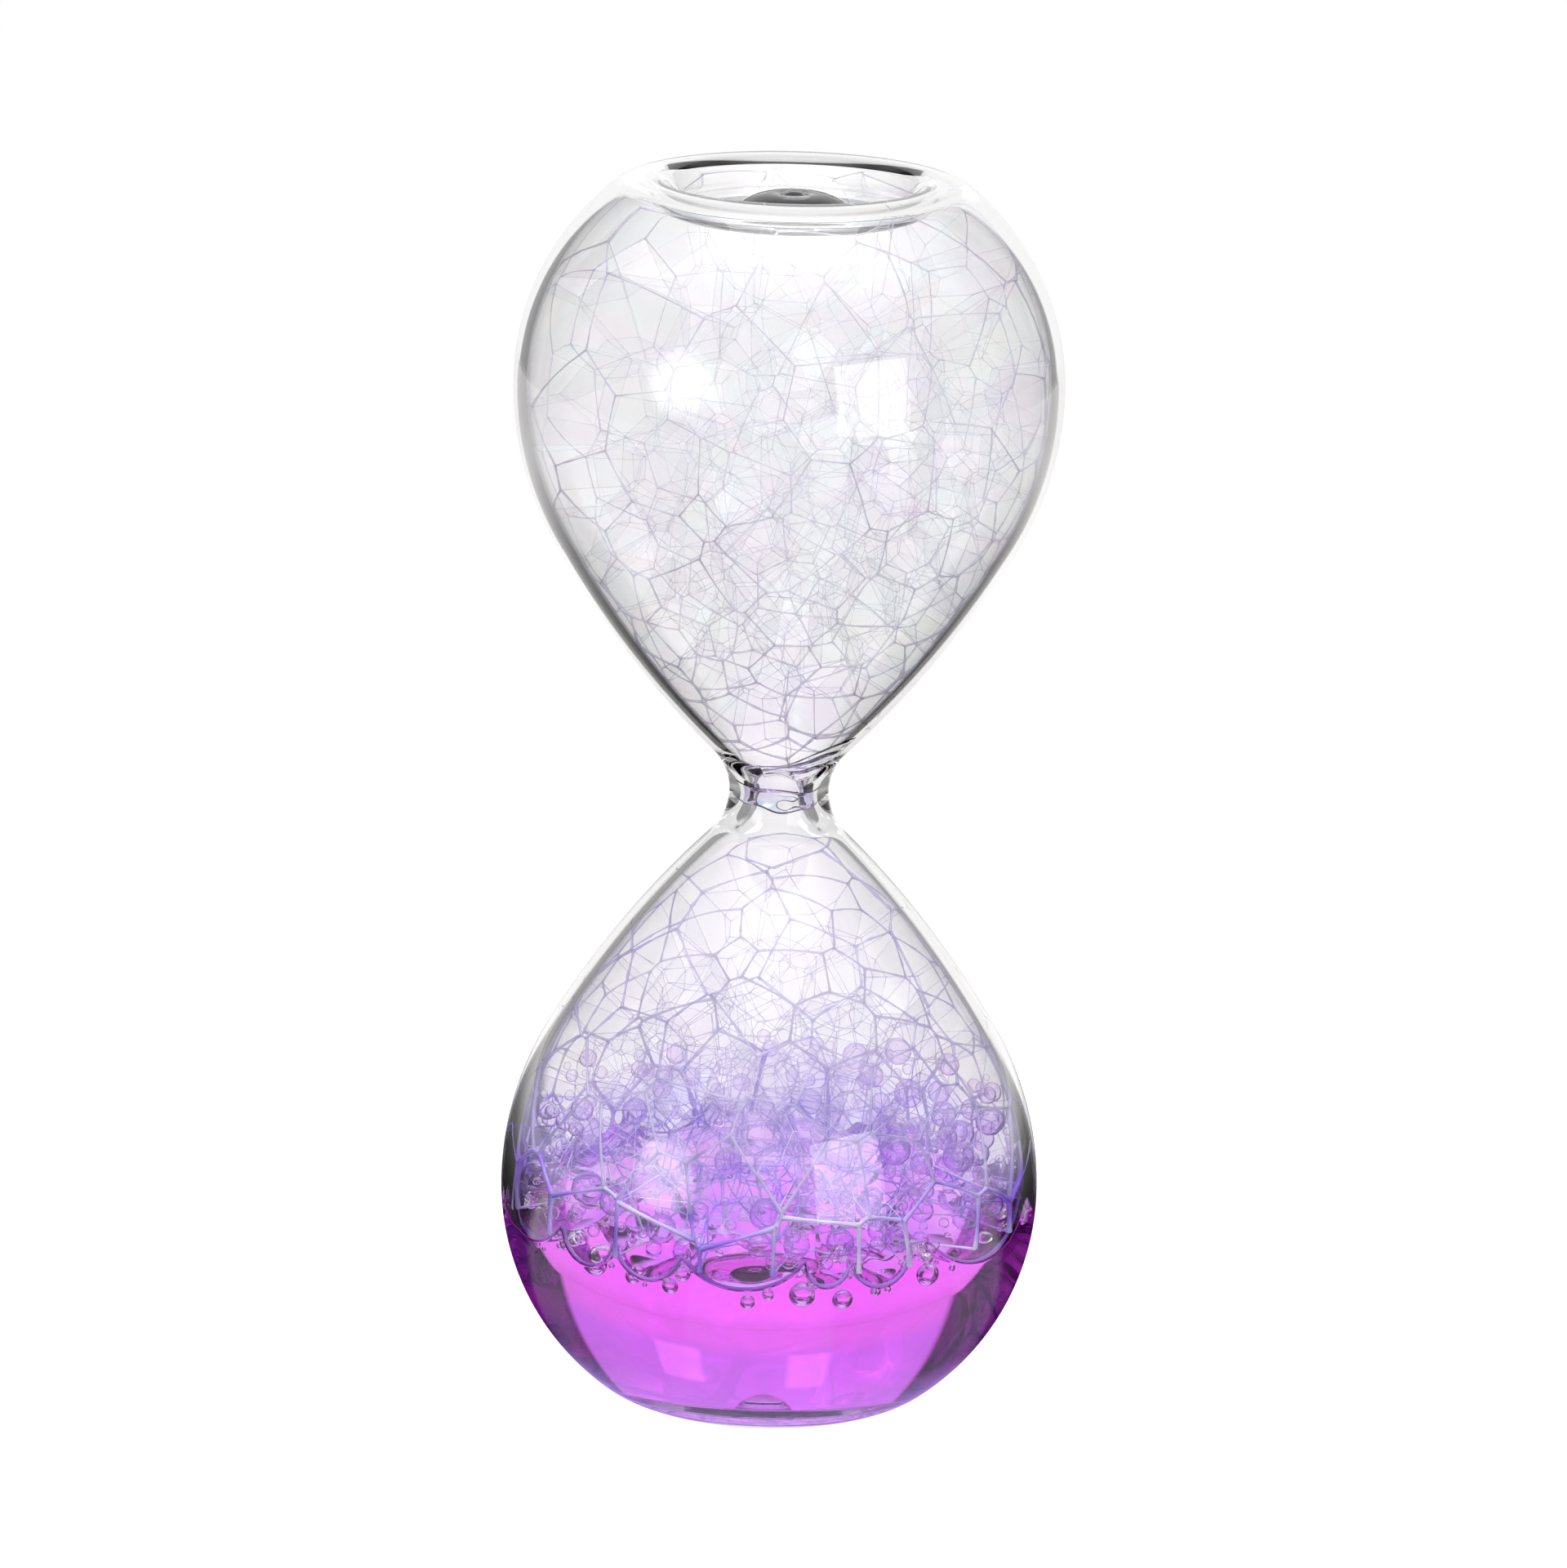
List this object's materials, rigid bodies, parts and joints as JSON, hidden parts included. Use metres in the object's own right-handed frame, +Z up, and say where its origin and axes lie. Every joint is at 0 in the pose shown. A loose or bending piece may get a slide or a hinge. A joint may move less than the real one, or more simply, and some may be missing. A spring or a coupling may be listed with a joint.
{
  "type": "liquid motion timer",
  "caption": "Free-standing clear glass bubble hourglass: two blown bulbs joined at a narrow throat, purple soapy liquid in the lower one and soap foam in both.",
  "frame": {"origin": "centre of the standing ring, on the table", "axes": "+Z up along the glass axis, -Y towards the viewer of the picture"},
  "size_m": [0.065, 0.065, 0.148],
  "materials": {
    "clear_glass": "polished",
    "seal_glass": "polished",
    "purple_liquid": "gloss",
    "thin_liquid": "gloss",
    "lower_foam_film": "gloss",
    "upper_foam_film": "gloss",
    "gas_bubble": "polished"
  },
  "bodies": {
    "glass": {"lower_bulb": "clear_glass", "upper_bulb": "clear_glass", "lower_seal_pip": "seal_glass", "upper_seal_pip": "seal_glass", "throat_film": "thin_liquid", "drain_rivulet": "thin_liquid"},
    "lower_contents": {"liquid_pool": "purple_liquid", "wet_foam": "lower_foam_film", "lower_foam_base": "lower_foam_film", "lower_foam_middle": "lower_foam_film", "lower_foam_peak": "lower_foam_film"},
    "upper_contents": {"upper_foam_base": "upper_foam_film", "upper_foam_middle": "upper_foam_film", "upper_foam_crown": "upper_foam_film"},
    "bubble_left": {"surface_bubble_left": "gas_bubble"},
    "bubble_centre": {"surface_bubble_centre": "gas_bubble"},
    "bubble_small": {"surface_bubble_small": "gas_bubble"},
    "bubble_right": {"surface_bubble_right": "gas_bubble"},
    "bubble_far_right": {"surface_bubble_far_right": "gas_bubble"}
  },
  "joints": [
    {"name": "lower_contents_swirl", "type": "hinge", "parent": "glass", "child": "lower_contents", "pos_m": [0, 0, 0.024], "axis": [0, 0, 1], "continuous": true},
    {"name": "upper_contents_swirl", "type": "hinge", "parent": "glass", "child": "upper_contents", "pos_m": [0, 0, 0.124], "axis": [0, 0, 1], "continuous": true},
    {"name": "bubble_left_rise", "type": "slide", "parent": "lower_contents", "child": "bubble_left", "axis": [-0.2626, -0.2672, 0.9272], "range_m": [-0.01, 0], "stiffness_N_per_m": 0.2, "springref_m": 0.02, "deforming": ["liquid_pool"]},
    {"name": "bubble_centre_rise", "type": "slide", "parent": "lower_contents", "child": "bubble_centre", "axis": [0.0554, -0.3705, 0.9272], "range_m": [-0.01, 0], "stiffness_N_per_m": 0.2, "springref_m": 0.02, "deforming": ["liquid_pool"]},
    {"name": "bubble_small_rise", "type": "slide", "parent": "lower_contents", "child": "bubble_small", "axis": [0.1158, -0.3563, 0.9272], "range_m": [-0.01, 0], "stiffness_N_per_m": 0.2, "springref_m": 0.02, "deforming": ["liquid_pool"]},
    {"name": "bubble_right_rise", "type": "slide", "parent": "lower_contents", "child": "bubble_right", "axis": [0.2433, -0.2849, 0.9272], "range_m": [-0.01, 0], "stiffness_N_per_m": 0.2, "springref_m": 0.02, "deforming": ["liquid_pool"]},
    {"name": "bubble_far_right_rise", "type": "slide", "parent": "lower_contents", "child": "bubble_far_right", "axis": [0.3422, -0.1524, 0.9272], "range_m": [-0.01, 0], "stiffness_N_per_m": 0.2, "springref_m": 0.02, "deforming": ["liquid_pool"]}
  ]
}
